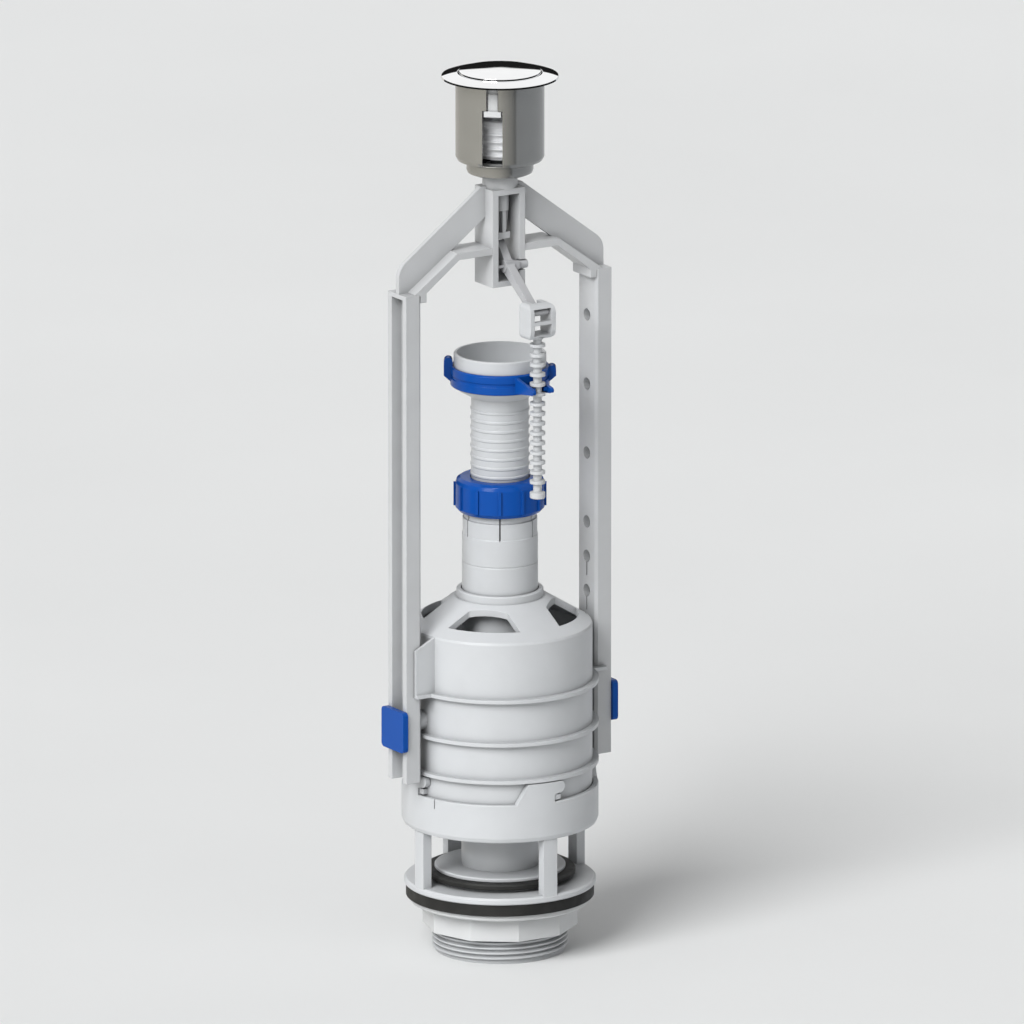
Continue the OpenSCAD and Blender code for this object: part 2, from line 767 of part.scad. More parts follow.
// One arm: upright web on a shelf that runs from the tower down to the leg
module bridge_arm() {
    x0 = tower_w / 2 - 1;
    x1 = tower_w / 2 + 2.2;
    x3 = leg_in - shelf_bend;
    z_web = z_top + 1;
    run = sqrt(1 + arm_slope * arm_slope);
    end_x = leg_out - 0.2 - web_r;
    end_z = z_web + arm_slope * (x1 - end_x) - web_r * run;
    side_plate(web_t)
        union() {
            polygon([
                [0, z_web], [x1, z_web], [end_x + web_r * arm_slope / run, end_z + web_r / run],
                [end_x + web_r, end_z],
                [end_x + web_r, leg_top - 0.5], [leg_in + 2, leg_top - 0.5],
                [x3 + 1, shelf_z + shelf_t - 0.4],
                [x3 - 1.4, shelf_z + shelf_t + 1.4],
                [x0, shelf_z + shelf_t + 1.4 + arm_slope * (x3 - 1.4 - x0)],
                [x0, z_top - 1], [0, z_top - 1]
            ]);
            translate([end_x, end_z])
                intersection() {
                    circle(r = web_r, $fn = 64);
                    square(web_r);
                }
        }
    side_plate(leg_y - 0.4)
        polygon([
            [x0, shelf_z], [x3, shelf_z], [leg_in - lip_x, leg_top + 0.4], [leg_in - lip_x, leg_top - lip_h],
            [leg_in + 0.5, leg_top - lip_h], [leg_in + 0.5, leg_top - 0.5], [leg_in + 3.2, leg_top - 0.5],
            [leg_in + 3.2, leg_top + 0.4], [x3 + 1, shelf_z + shelf_t], [x0, shelf_z + shelf_t]
        ]);
}

// Legs, arms, open tower and neck in one moulding
module bridge_frame() {
    half = tower_y / 2;
    color(mid_grey)
        difference() {
            union() {
                for (m = [0, 1])
                    mirror([m, 0, 0]) {
                        bridge_leg();
                        bridge_arm();
                    }
                difference() {
                    slab(-tower_w / 2, tower_w / 2, tower_y, z_tower, z_top);
                    translate([-open_w / 2, -half - 1, z_tower + 2.4])
                        cube([open_w, tower_y + 1 - back_wall, tower_h - plate_top - 2.4]);
                    translate([-open_w / 2, 0, pivot_z])
                        cube([open_w, tower_y, z_top - back_slot - pivot_z]);
                    translate([tower_w / 4 + 0.5, 0, 0])
                        cross_pin(pivot_y, pivot_z, pin_r + slide_gap, tower_w / 2 + 1);
                    translate([0, -half - 1, pivot_z - pin_r - slide_gap])
                        cube([tower_w / 2 + 1, half + 1 + pivot_y, 2 * (pin_r + slide_gap)]);
                    translate([-(open_w / 2 + stub + slide_gap) / 2, 0, 0])
                        cross_pin(pivot_y, pivot_z, stub_r + slide_gap, open_w / 2 + stub + slide_gap);
                }
                translate([0, 0, z_top - 0.5])
                    cylinder(d = neck_d, h = neck_h + 0.5, $fn = 48);
                translate([0, 0, z_house - 0.5])
                    cylinder(r = spigot_r, h = spigot_up + 0.5, $fn = 48);
            }
            translate([0, 0, z_top - plate_top - 1])
                cylinder(r = push_bore, h = neck_h + spigot_up + plate_top + 2, $fn = 40);
        }
}

// Plate, block and peg that lock a leg to the body
module lock_clip() {
    color(blue) {
        translate([leg_out + 0.1, 0, clip_low])
            rotate([90, 0, 90])
                linear_extrude(height = clip_plate_t)
                    round_rect(clip_plate_y, clip_plate_z, 2);
        slab(leg_in + leg_wall + 0.3, leg_out + 0.5, leg_y - 2 * leg_wall - 0.8, clip_low - 6, clip_low + 6);
        translate([leg_in - 2.2, 0, clip_hole_z])
            rotate([0, 90, 0])
                cylinder(d = set_hole_d - 0.7, h = leg_wall + 4, $fn = 32);
    }
}

module right_lock_clip() {
    lock_clip();
}

module left_lock_clip() {
    mirror([1, 0, 0])
        lock_clip();
}

// Lever on a pin: nose under the plunger, arm with a cross bar in the rod's cage
module rocker_lever() {
    wedge = open_w / 2 - slide_gap;
    color(mid_grey) {
        translate([tower_w / 4 + 0.45, 0, 0])
            cross_pin(pivot_y, pivot_z, pin_r, tower_w / 2 + 1.5);
        translate([-(open_w / 2 + stub) / 2, 0, 0])
            cross_pin(pivot_y, pivot_z, stub_r, open_w / 2 + stub);
        cross_pin(pivot_y, pivot_z, hub_r, lever_w + 0.8);
        translate([0, pivot_y - 0.8, 0])
            side_plate(3.4)
                polygon([
                    [-lever_w / 2, pivot_z - 2.6], [lever_w / 2, pivot_z - 2.6], [wedge, pivot_z - 1.2],
                    [wedge, pivot_z + 1.8], [lever_w / 2, pivot_z + 2.6], [-lever_w / 2, pivot_z + 2.6]
                ]);
        hull() {
            cross_pin(pivot_y, pivot_z, hub_r - 0.6, lever_w);
            cross_pin(nose_y, nose_z, nose_r, lever_w);
        }
        hull() {
            cross_pin(pivot_y, pivot_z, hub_r - 0.4, lever_w);
            cross_pin(arm_y, arm_z, 1.5, lever_w);
        }
        hull() {
            cross_pin(arm_y, arm_z, 1.5, lever_w);
            cross_pin(tip_y, tip_z, 1.4, lever_w);
        }
        cross_pin(tip_y, tip_z, bar_r, bar_w);
    }
}

// Push pin from the button down into the tower: round above, ribbed and tapered below
module plunger() {
    z_cross = z_top - plate_top - press - 1;
    z_slim = z_cross - 4;
    z_toe = tip_low + 2.4;
    fin_t = 1.8;
    fin_r = 3.6;
    color(mid_grey) {
        translate([0, 0, z_cross - 2])
            cylinder(r = push_r, h = carrier_z - z_cross + 2, $fn = 32);
        side_plate(fin_t)
            polygon([
                [-2.8, z_toe], [2.8, z_toe], [fin_r, z_slim], [fin_r, z_cross],
                [-fin_r, z_cross], [-fin_r, z_slim]
            ]);
        rotate([0, 0, 90])
            side_plate(fin_t)
                polygon([
                    [-fin_r, z_toe], [4.2, z_toe], [fin_r, z_slim], [fin_r, z_cross], [-fin_r, z_cross]
                ]);
        translate([-push_x / 2, -push_y / 2 + 0.5, tip_low])
            cube([push_x, push_y, 2.8]);
    }
}

// Coil spring on the neck's top, round the plunger
module return_spring() {
    z0 = z_house + spigot_up + 0.1;
    h = carrier_z - 0.1 - z0;
    rise = (h - 2 * wire_r) / turns;
    span = 360 * wire_r / rise;
    color(chrome)
        translate([0, 0, z0 + wire_r])
            linear_extrude(height = h - 2 * wire_r, twist = -360 * turns, slices = turns * 16)
                polygon(concat(
                    [for (i = [-3 : 3]) let (a = span * i / 3, w = sqrt(max(0, 1 - i * i / 9)))
                        (spring_r + wire_r * w) * [cos(a), sin(a)]],
                    [for (i = [2 : -1 : -2]) let (a = span * i / 3, w = sqrt(max(0, 1 - i * i / 9)))
                        (spring_r - wire_r * w) * [cos(a), sin(a)]]
                ));
}

// Ribbed sleeve under the carrier, seen through the housing's window
module stem_screw() {
    ribs = 4;
    rib_step = 3.2;
    rib_proud = 1.2;
    band_h = 3.1;
    skin = 1.2;
    smooth = screw_z + 1.6 + rib_step * ribs;
    neck_in = spring_r + wire_r + 0.4;
    color(white)
        rotate_extrude($fn = 40)
            polygon(concat(
                [[screw_in, screw_z], [screw_r, screw_z]],
                [for (i = [0 : ribs - 1], k = [0 : 3])
                    [screw_r + (k == 1 || k == 2 ? rib_proud : 0),
                     screw_z + 1.2 + rib_step * i + [0, 0.3, 0.9, 1.4][k]]],
                [[screw_r, smooth], [screw_r + 0.6, smooth + 0.4], [screw_r + 0.6, smooth + band_h - 0.6],
                 [screw_r, smooth + band_h], [neck_in + skin, smooth + band_h], [neck_in + skin, carrier_z],
                 [neck_in, carrier_z], [neck_in, smooth + band_h - skin],
                 [screw_in, smooth + band_h - skin - 1]]
            ));
}

// Carrier of the cap, with two snap legs in the housing's slots
module button_carrier() {
    color(white) {
        translate([0, 0, carrier_z])
            cylinder(r = carrier_r, h = carrier_t, $fn = 48);
        for (a = [0, 180])
            rotate([0, 0, window_turn + a]) {
                translate([-snap_w / 2, -cap_bore + slide_gap, toe_z])
                    cube([snap_w, snap_t, carrier_z + 1 - toe_z]);
                translate([-toe_w / 2, -cap_bore - 0.5, toe_z])
                    cube([toe_w, snap_t + slide_gap + 0.5, toe_h]);
            }
    }
}

// Chrome cap of the button
module push_button() {
    z = carrier_z + carrier_t;
    z_edge = z_rim + bezel_h - 0.5;
    dome_r = (cap_r * cap_r + dome_h * dome_h) / (2 * dome_h);
    span = asin((cap_r - 0.4) / dome_r);
    color(chrome)
        rotate_extrude($fn = 64)
            polygon(concat(
                [[0, z], [cap_r, z], [cap_r, z_edge - 0.4]],
                [for (i = [8 : -1 : 0])
                    [dome_r * sin(span * i / 8), z_edge + dome_h - dome_r * (1 - cos(span * i / 8))]]
            ));
}

// Chrome ring that rests on the cistern lid
module bezel_ring() {
    rim_r = bezel_d / 2;
    fall = rim_r - cap_bore - 0.8;
    color(chrome)
        rotate_extrude($fn = 64)
            polygon(concat(
                [[cap_bore, z_rim + rim_up], [housing_r + seat_gap, z_rim + rim_up],
                 [housing_r + seat_gap, z_rim],
                 [rim_r - 0.4, z_rim], [rim_r, z_rim + 0.4]],
                [for (i = [0 : 6]) let (t = i / 6)
                    [rim_r - 0.2 - fall * t,
                     z_rim + 0.8 + (bezel_h - 0.8) * t * (1 + bezel_crown * (1 - t))]],
                [[cap_bore, z_rim + bezel_h - 0.5]]
            ));
}

// Stepped sleeve through the cistern lid, with two windows for the snap legs
module button_housing() {
    z_ledge = window_top - 4;
    slot_w = snap_w + 2 * slide_gap;
    cut = 8;
    color(dark_grey)
        difference() {
            rotate_extrude($fn = 64)
                polygon([
                    [spigot_r + seat_gap, z_house], [step_d / 2 - 1.6, z_house],
                    [step_d / 2 - 0.4, z_house + 0.6],
                    [step_d / 2, z_house + 1.8], [step_d / 2, z_wide], [housing_r - 2.6, z_wide],
                    [housing_r - 0.8, z_wide + 0.8], [housing_r, z_wide + 2.4],
                    [housing_r, z_rim + rim_up],
                    [cap_bore, z_rim + rim_up], [cap_bore, z_ledge], [house_in, z_ledge - 1],
                    [house_in, window_low], [step_in, window_low], [step_in, z_house + 2],
                    [spigot_r + seat_gap, z_house + 2]
                ]);
            for (a = [0, 180])
                rotate([0, 0, window_turn + a]) {
                    translate([-window_w / 2, -housing_r - 2, window_low])
                        cube([window_w, cut, window_top - window_low]);
                    translate([-slot_w / 2, -housing_r - 2, window_top - 1])
                        cube([slot_w, cut, z_rim + rim_up + 2 - window_top]);
                }
        }
}

base_cage();
flange_gasket();
back_nut();
seal_retainer();
valve_seal();
clamp_plate();
valve_stem();
float_cup();
body_shell();
tube_seal();
tube_nut();
overflow_tube();
rod_clip_ring();
lift_rod();
bridge_frame();
left_lock_clip();
right_lock_clip();
rocker_lever();
plunger();
return_spring();
stem_screw();
button_carrier();
push_button();
bezel_ring();
button_housing();
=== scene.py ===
import math
import bmesh
import bpy
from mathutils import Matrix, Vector


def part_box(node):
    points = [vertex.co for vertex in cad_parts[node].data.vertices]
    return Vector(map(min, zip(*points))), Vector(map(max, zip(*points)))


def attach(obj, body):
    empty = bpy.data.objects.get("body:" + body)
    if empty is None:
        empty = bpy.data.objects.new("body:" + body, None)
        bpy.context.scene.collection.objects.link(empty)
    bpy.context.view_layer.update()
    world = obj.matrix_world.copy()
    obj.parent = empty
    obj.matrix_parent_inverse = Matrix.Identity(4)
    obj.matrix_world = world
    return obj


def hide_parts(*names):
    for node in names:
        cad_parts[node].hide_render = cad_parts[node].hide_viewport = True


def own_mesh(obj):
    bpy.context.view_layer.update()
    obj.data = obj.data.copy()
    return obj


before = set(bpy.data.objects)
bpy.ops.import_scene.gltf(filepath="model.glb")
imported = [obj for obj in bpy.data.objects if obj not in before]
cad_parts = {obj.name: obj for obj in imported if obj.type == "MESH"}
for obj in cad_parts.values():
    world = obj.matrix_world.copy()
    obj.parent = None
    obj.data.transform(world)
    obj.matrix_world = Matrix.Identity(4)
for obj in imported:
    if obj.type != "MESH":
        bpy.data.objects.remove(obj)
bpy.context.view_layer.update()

# The seat cage: outlet, floor flange, four posts and the bayonet ring, moulded in one shot of
# pale acetal. The outlet carries a two-inch pipe thread that is moulded with the piece, so its
# copy here has the wall drawn in to the thread's root and a crest wound round it.
thread_pitch = 0.002309
thread_crest = 0.0298
thread_root = 0.0285
thread_low = 0.0011
thread_high = 0.0118
thread_lap = 0.0003
thread_flank = 0.47
thread_flat = 0.26
thread_fade = 14.0
thread_least = 0.02
thread_steps = 96
spigot_top = 0.0115
spigot_skin = 0.0287
edge_round = 0.00035
# painted shade in corners and recesses: its reach, its darkness and the occlusion range it spreads
# over
corner_shade_reach = 0.009
corner_shade_dark = 0.3
corner_shade_start = 0.15
corner_shade_end = 0.85
sharp_edge = math.radians(32)
pale_shade = (0.57, 0.585, 0.60)


def link(tree, source, target):
    tree.links.new(source, target)


def new_finish(name):
    finish = bpy.data.materials.new(name)
    finish.use_nodes = True
    tree = finish.node_tree
    surface = next(n for n in tree.nodes if n.type == "BSDF_PRINCIPLED")
    return finish, tree, surface


def speckle(tree, place, scale, detail=3.0, rough=0.5):
    cloud = tree.nodes.new("ShaderNodeTexNoise")
    cloud.inputs["Scale"].default_value = scale
    cloud.inputs["Detail"].default_value = detail
    cloud.inputs["Roughness"].default_value = rough
    link(tree, place, cloud.inputs["Vector"])
    return cloud.outputs["Fac"]


def spread(tree, value, low, high, start=0.3, end=0.7):
    span = tree.nodes.new("ShaderNodeMapRange")
    span.inputs["From Min"].default_value = start
    span.inputs["From Max"].default_value = end
    span.inputs["To Min"].default_value = low
    span.inputs["To Max"].default_value = high
    link(tree, value, span.inputs["Value"])
    return span.outputs["Result"]


def tint(tree, factor, first, second):
    blend = tree.nodes.new("ShaderNodeMix")
    blend.data_type = "RGBA"
    blend.inputs["A"].default_value = (*first, 1.0)
    blend.inputs["B"].default_value = (*second, 1.0)
    link(tree, factor, blend.inputs["Factor"])
    return blend


def shade(colour, amount):
    return tuple(min(1.0, c * amount) for c in colour)


# Painted shade: the colour is darkened where ambient occlusion finds surfaces near, in corners,
# creases, recesses and between parts.
def painted_corner_shade(tree, clean, colour, depth):
    corner = tree.nodes.new("ShaderNodeAmbientOcclusion")
    corner.samples = 6
    corner.inputs["Distance"].default_value = corner_shade_reach
    corner_shade_mix = tree.nodes.new("ShaderNodeMix")
    corner_shade_mix.data_type = "RGBA"
    corner_shade_amount = spread(tree, corner.outputs["AO"], depth, 0.0, corner_shade_start, corner_shade_end)
    link(tree, corner_shade_amount, corner_shade_mix.inputs["Factor"])
    link(tree, clean, corner_shade_mix.inputs["A"])
    corner_shade_mix.inputs["B"].default_value = (*shade(colour, corner_shade_dark), 1.0)
    return corner_shade_mix.outputs["Result"]


def moulded_plastic(name, colour, gloss=(0.34, 0.46), grain=0.00003, edge_wear_and_light=1.1, shine=0.45, corner_shade_depth=0.75):
    flow_scale = 55.0
    flow_dark = 0.965
    flow_light = 1.02
    gloss_scale = 160.0
    grain_scale = 1400.0
    grain_strength = 0.35
    worn_lit_full = 0.84
    worn_lit_none = 0.965
    plastic_ior = 1.48
    finish, tree, surface = new_finish(name)
    spot = tree.nodes.new("ShaderNodeTexCoord").outputs["Object"]
    cloudy = spread(tree, speckle(tree, spot, flow_scale), 0.0, 1.0)
    body = tint(tree, cloudy, shade(colour, flow_dark), shade(colour, flow_light))
    # Lighter rounded edges, found where the bevel normal turns from the true normal: partly edge
    # wear, partly a painted highlight.
    round_off = tree.nodes.new("ShaderNodeBevel")
    round_off.samples = 4
    round_off.inputs["Radius"].default_value = edge_round
    facing = tree.nodes.new("ShaderNodeNewGeometry").outputs["Normal"]
    along = tree.nodes.new("ShaderNodeVectorMath")
    along.operation = "DOT_PRODUCT"
    link(tree, round_off.outputs["Normal"], along.inputs[0])
    link(tree, facing, along.inputs[1])
    worn_lit_edge = spread(tree, along.outputs["Value"], 1.0, 0.0, worn_lit_full, worn_lit_none)
    worn_lit_mix = tree.nodes.new("ShaderNodeMix")
    worn_lit_mix.data_type = "RGBA"
    link(tree, worn_lit_edge, worn_lit_mix.inputs["Factor"])
    link(tree, body.outputs["Result"], worn_lit_mix.inputs["A"])
    worn_lit_mix.inputs["B"].default_value = (*shade(colour, edge_wear_and_light), 1.0)
    # painted shade in corners and recesses
    corner_shaded = painted_corner_shade(tree, worn_lit_mix.outputs["Result"], colour, corner_shade_depth)
    link(tree, corner_shaded, surface.inputs["Base Color"])
    uneven = speckle(tree, spot, gloss_scale, 5.0, 0.6)
    link(tree, spread(tree, uneven, *gloss), surface.inputs["Roughness"])
    skin = tree.nodes.new("ShaderNodeBump")
    skin.inputs["Strength"].default_value = grain_strength
    skin.inputs["Distance"].default_value = grain
    link(tree, speckle(tree, spot, grain_scale, 2.0), skin.inputs["Height"])
    link(tree, round_off.outputs["Normal"], skin.inputs["Normal"])
    link(tree, skin.outputs["Normal"], surface.inputs["Normal"])
    surface.inputs["IOR"].default_value = plastic_ior
    surface.inputs["Specular IOR Level"].default_value = shine
    return finish


def piece_from(name, mesh_maker, finish, body):
    work = bmesh.new()
    mesh_maker(work)
    bmesh.ops.recalc_face_normals(work, faces=work.faces)
    mesh = bpy.data.meshes.new(name)
    work.to_mesh(mesh)
    work.free()
    mesh.materials.append(finish)
    piece = bpy.data.objects.new(name, mesh)
    bpy.context.collection.objects.link(piece)
    for face in mesh.polygons:
        face.use_smooth = True
    mesh.set_sharp_from_angle(angle=sharp_edge)
    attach(piece, body)
    return piece


def wind_thread(work):
    turns = (thread_high - thread_low) / thread_pitch
    count = int(turns * thread_steps)
    flank = thread_pitch * thread_flank
    flat = flank * thread_flat
    sunk = thread_root - thread_lap
    rings = []
    for i in range(count + 1):
        angle = 2 * math.pi * i / thread_steps
        grow = min(1.0, i / thread_fade, (count - i) / thread_fade)
        crest = thread_root + (thread_crest - thread_root) * max(grow, thread_least)
        middle = thread_low + thread_pitch * i / thread_steps
        outline = [
            (sunk, -flank), (thread_root, -flank), (crest, -flat),
            (crest, flat), (thread_root, flank), (sunk, flank),
        ]
        rings.append([
            work.verts.new((r * math.cos(angle), r * math.sin(angle), middle + dz))
            for r, dz in outline
        ])
    for here, there in zip(rings, rings[1:]):
        for k in range(len(here)):
            beside = (k + 1) % len(here)
            work.faces.new((here[k], here[beside], there[beside], there[k]))
    work.faces.new(rings[0])
    work.faces.new(rings[-1])


pale_plastic = moulded_plastic("pale_plastic", pale_shade)
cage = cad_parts["base_cage"]
seat_cage_mesh = cage.data.copy()
seat_cage_mesh.name = "seat_cage"
for corner in seat_cage_mesh.vertices:
    reach = math.hypot(corner.co.x, corner.co.y)
    if corner.co.z < spigot_top and reach > spigot_skin:
        drawn_in = thread_root / reach
        corner.co.x *= drawn_in
        corner.co.y *= drawn_in
seat_cage_mesh.materials.clear()
seat_cage_mesh.materials.append(pale_plastic)
seat_cage = bpy.data.objects.new("seat_cage", seat_cage_mesh)
bpy.context.collection.objects.link(seat_cage)
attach(seat_cage, "base")
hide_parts("base_cage")
piece_from("outlet_thread", wind_thread, pale_plastic, "base")

# The floor gasket, the flap seal and the ring in the tube nut: cut from black rubber sheet, dusted
# from the mould and slightly dulled, with a fine open grain. They are held by being squeezed.
rubber_black = (0.014, 0.014, 0.013)
rubber_bloom = 1.9
rubber_grain = 0.00006
rubber_gloss = (0.52, 0.7)


def dress(node, finish):
    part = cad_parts[node]
    part.data.materials.clear()
    part.data.materials.append(finish)
    return part


def sheet_rubber(name, colour):
    finish, tree, surface = new_finish(name)
    spot = tree.nodes.new("ShaderNodeTexCoord").outputs["Object"]
    bloom = spread(tree, speckle(tree, spot, 90.0, 4.0), 0.0, 1.0, 0.4, 0.75)
    body = tint(tree, bloom, colour, shade(colour, rubber_bloom))
    link(tree, body.outputs["Result"], surface.inputs["Base Color"])
    link(tree, spread(tree, speckle(tree, spot, 240.0), *rubber_gloss), surface.inputs["Roughness"])
    skin = tree.nodes.new("ShaderNodeBump")
    skin.inputs["Strength"].default_value = 0.5
    skin.inputs["Distance"].default_value = rubber_grain
    link(tree, speckle(tree, spot, 1100.0, 3.0), skin.inputs["Height"])
    link(tree, skin.outputs["Normal"], surface.inputs["Normal"])
    surface.inputs["Specular IOR Level"].default_value = 0.35
    return finish


black_rubber = sheet_rubber("black_rubber", rubber_black)
dress("flange_gasket", black_rubber)
dress("valve_seal", black_rubber)
dress("tube_seal", black_rubber)

# The back nut: ten-sided, moulded in white polypropylene with its washer in one piece, and run
# up the outlet thread by hand until the gasket is squeezed.
white_shade = (0.60, 0.61, 0.615)
white_plastic = moulded_plastic("white_plastic", white_shade, gloss=(0.38, 0.5))
dress("back_nut", white_plastic)

# The body shell: a pale moulded cylinder with three rings, a windowed cone and a collar that
# guides the stem. It drops into the cage ring and is locked by a short twist.
dress("body_shell", pale_plastic)

# The valve: a grey tube with its float, and the seal held on its foot between a stiff plate and
# a ring nut, all moulded and screwed together by hand.
tube_shade = (0.55, 0.565, 0.58)
float_painted_dark = (0.05, 0.05, 0.054)
tube_plastic = moulded_plastic("tube_plastic", tube_shade, gloss=(0.30, 0.36))
dress("valve_stem", tube_plastic)
dress("clamp_plate", pale_plastic)
dress("seal_retainer", pale_plastic)
# Painted shade: the float is coloured near black so that the shell's inside looks dark through its
# windows.
dark_plastic = moulded_plastic("dark_plastic", float_painted_dark, edge_wear_and_light=1.3)
dress("float_cup", dark_plastic)

# The tube nut: glossy blue moulding with twelve grip ribs, screwed on to the stem's split end so
# that a rubber ring grips the overflow tube.
blue_shade = (0.004, 0.070, 0.345)
blue_plastic = moulded_plastic(
    "blue_plastic", blue_shade, gloss=(0.14, 0.22), edge_wear_and_light=1.35, shine=0.15, corner_shade_depth=0.6)
dress("tube_nut", blue_plastic)

# The overflow tube: a ringed grey tube that slides in the stem to set its height, with a cup
# moulded on its end.
dress("overflow_tube", tube_plastic)

# The clip ring: a blue snap ring on the cup, with two finger ears and a fork that holds the rod
# between two beads.
dress("rod_clip_ring", blue_plastic)

# The lift rod: a pale rod moulded with beads, and with a square cage at its head that the lever's
# finger lifts. It is cut to length at a bead and pressed into the clip ring's fork.
dress("lift_rod", pale_plastic)

# The bridge: two channel legs, two arms and the open tower in one grey moulding, held on the
# shell by a clip through each leg.
grey_shade = (0.55, 0.56, 0.57)
grey_plastic = moulded_plastic("grey_plastic", grey_shade)
dress("bridge_frame", grey_plastic)

# The lock clips: two blue moulded plates, each with a block that fills the leg's channel and a peg
# that goes through the leg into the shell. They are pushed in, and pulled out, by hand.
dress("left_lock_clip", blue_plastic)
dress("right_lock_clip", blue_plastic)

# The rocker lever and the plunger: grey mouldings. The lever snaps into slots in the tower's
# walls, and its finger lifts the rod's cage when the plunger tips it.
# Painted shade: the lever's grey is darker than the plunger's to stand for the tower's shadow on it.
lever_shaded_grey = (0.455, 0.46, 0.475)
lever_shaded_plastic = moulded_plastic("lever_shaded_plastic", lever_shaded_grey)
dress("rocker_lever", lever_shaded_plastic)
dress("plunger", grey_plastic)

# The return spring: drawn steel wire, coiled round the plunger. It stands on the tower's neck and
# lifts the button's carrier again.
steel_shade = (0.55, 0.56, 0.57)
steel_streak = 0.85
steel_gloss = (0.22, 0.36)


def drawn_wire(name, colour):
    finish, tree, surface = new_finish(name)
    spot = tree.nodes.new("ShaderNodeTexCoord").outputs["Object"]
    streak = spread(tree, speckle(tree, spot, 700.0, 4.0), 0.0, 1.0)
    body = tint(tree, streak, shade(colour, steel_streak), colour)
    link(tree, body.outputs["Result"], surface.inputs["Base Color"])
    link(tree, spread(tree, speckle(tree, spot, 300.0), *steel_gloss), surface.inputs["Roughness"])
    surface.inputs["Metallic"].default_value = 1.0
    return finish


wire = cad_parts["return_spring"]
coil_mesh = wire.data.copy()
coil_mesh.name = "coil_spring"
coil_mesh.materials.clear()
coil_mesh.materials.append(drawn_wire("spring_steel", steel_shade))
coil_spring = bpy.data.objects.new("coil_spring", coil_mesh)
coil_spring.matrix_world = wire.matrix_world.copy()
bpy.context.collection.objects.link(coil_spring)
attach(coil_spring, "shell")
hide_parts("return_spring")
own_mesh(coil_spring)

# The button's inner parts: a white carrier with two snap legs, and a ribbed white sleeve that is
# turned to set the stroke.
# Painted light: the sleeve is whiter than the carrier's plastic and takes little painted corner
# shade, to lift it out of the housing's shade.
sleeve_lit_white = (0.88, 0.89, 0.91)
dress("stem_screw", moulded_plastic("sleeve_lit_plastic", sleeve_lit_white, corner_shade_depth=0.1))
dress("button_carrier", white_plastic)

# The cap and the bezel: round mouldings, chrome-plated and polished, with a faint haze from
# cleaning. The cap is pressed on to the carrier, and the bezel's lip rests on the cistern lid.
chrome_shade = (0.90, 0.905, 0.91)
chrome_haze = 0.97
chrome_gloss = (0.012, 0.032)
cap_spare = 0.0002
cap_sink = 0.0006
cap_rise = 0.0005
cap_lip = 0.00015
cap_wall = 0.0012
cap_draft = 0.00025
bezel_bore = 0.0184
bezel_seat = 0.0196
bezel_lap = 0.0008
bezel_sink = 0.0012
bezel_land = 0.0008
bezel_draft = 0.00017
bezel_crown = 0.7
bezel_lip = 0.00025
dome_steps = 24
lip_steps = 6


def plated(name, colour):
    finish, tree, surface = new_finish(name)
    spot = tree.nodes.new("ShaderNodeTexCoord").outputs["Object"]
    haze = spread(tree, speckle(tree, spot, 130.0, 4.0), 0.0, 1.0)
    body = tint(tree, haze, shade(colour, chrome_haze), colour)
    link(tree, body.outputs["Result"], surface.inputs["Base Color"])
    smear = speckle(tree, spot, 220.0, 5.0)
    link(tree, spread(tree, smear, *chrome_gloss), surface.inputs["Roughness"])
    surface.inputs["Metallic"].default_value = 1.0
    return finish


def turn_round(work, outline, steps=192):
    rings = []
    for r, z in outline:
        if r < 1e-6:
            rings.append([work.verts.new((0.0, 0.0, z))])
            continue
        ring = []
        for i in range(steps):
            angle = 2 * math.pi * i / steps
            ring.append(work.verts.new((r * math.cos(angle), r * math.sin(angle), z)))
        rings.append(ring)
    for here, there in zip(rings, rings[1:]):
        for i in range(steps):
            j = (i + 1) % steps
            corners = [
                here[i % len(here)], here[j % len(here)],
                there[j % len(there)], there[i % len(there)],
            ]
            work.faces.new(list(dict.fromkeys(corners)))
    if len(rings[0]) > 1 and len(rings[-1]) > 1:
        for i in range(steps):
            j = (i + 1) % steps
            work.faces.new((rings[-1][i], rings[-1][j], rings[0][j], rings[0][i]))


def cap_turning(work):
    low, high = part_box("push_button")
    edge = high[0] + cap_spare
    top = high[2] - cap_sink
    brim = top - cap_rise
    outline = [(0.0, low[2]), (edge, low[2]), (edge, brim - cap_lip - cap_wall)]
    edge -= cap_draft
    outline.append((edge, brim - cap_lip))
    for i in range(1, lip_steps + 1):
        turn = math.radians(90 * i / lip_steps)
        outline.append((edge - cap_lip * (1 - math.cos(turn)), brim - cap_lip * (1 - math.sin(turn))))
    for i in range(dome_steps - 1, -1, -1):
        t = i / dome_steps
        outline.append(((edge - cap_lip) * t, top - cap_rise * t ** 3))
    turn_round(work, outline)


def bezel_turning(work):
    low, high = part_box("bezel_ring")
    foot = low[2]
    lap = foot + bezel_lap
    top = high[2] - bezel_sink
    shoulder = foot + bezel_land
    rim = high[0]
    drawn = rim - bezel_draft
    inner = bezel_bore + bezel_lip
    outline = [
        (bezel_bore, lap), (bezel_seat, lap), (bezel_seat, foot), (rim, foot), (drawn, shoulder),
    ]
    for i in range(1, dome_steps + 1):
        t = i / dome_steps
        rise = (top - foot - bezel_land) * t * (1 + bezel_crown * (1 - t))
        outline.append((drawn - (drawn - inner) * t, shoulder + rise))
    for i in range(1, lip_steps + 1):
        turn = math.radians(90 * i / lip_steps)
        outline.append((inner - bezel_lip * math.sin(turn), top - bezel_lip * (1 - math.cos(turn))))
    turn_round(work, outline)


chrome = plated("chrome_plate", chrome_shade)
push_cap = piece_from("push_cap", cap_turning, chrome, "button")
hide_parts("push_button")
bezel = piece_from("bezel", bezel_turning, chrome, "shell")
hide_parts("bezel_ring")

# The button housing: a sleeve in olive-grey plastic with a satin metallic coat. It goes through
# the cistern lid and carries the button; its windows let the snap legs of the carrier in.
olive_shade = (0.335, 0.335, 0.318)
coat_round = 0.0004
coat_flake = 0.00002
coat_gloss = (0.06, 0.11)
coat_metal = 0.8


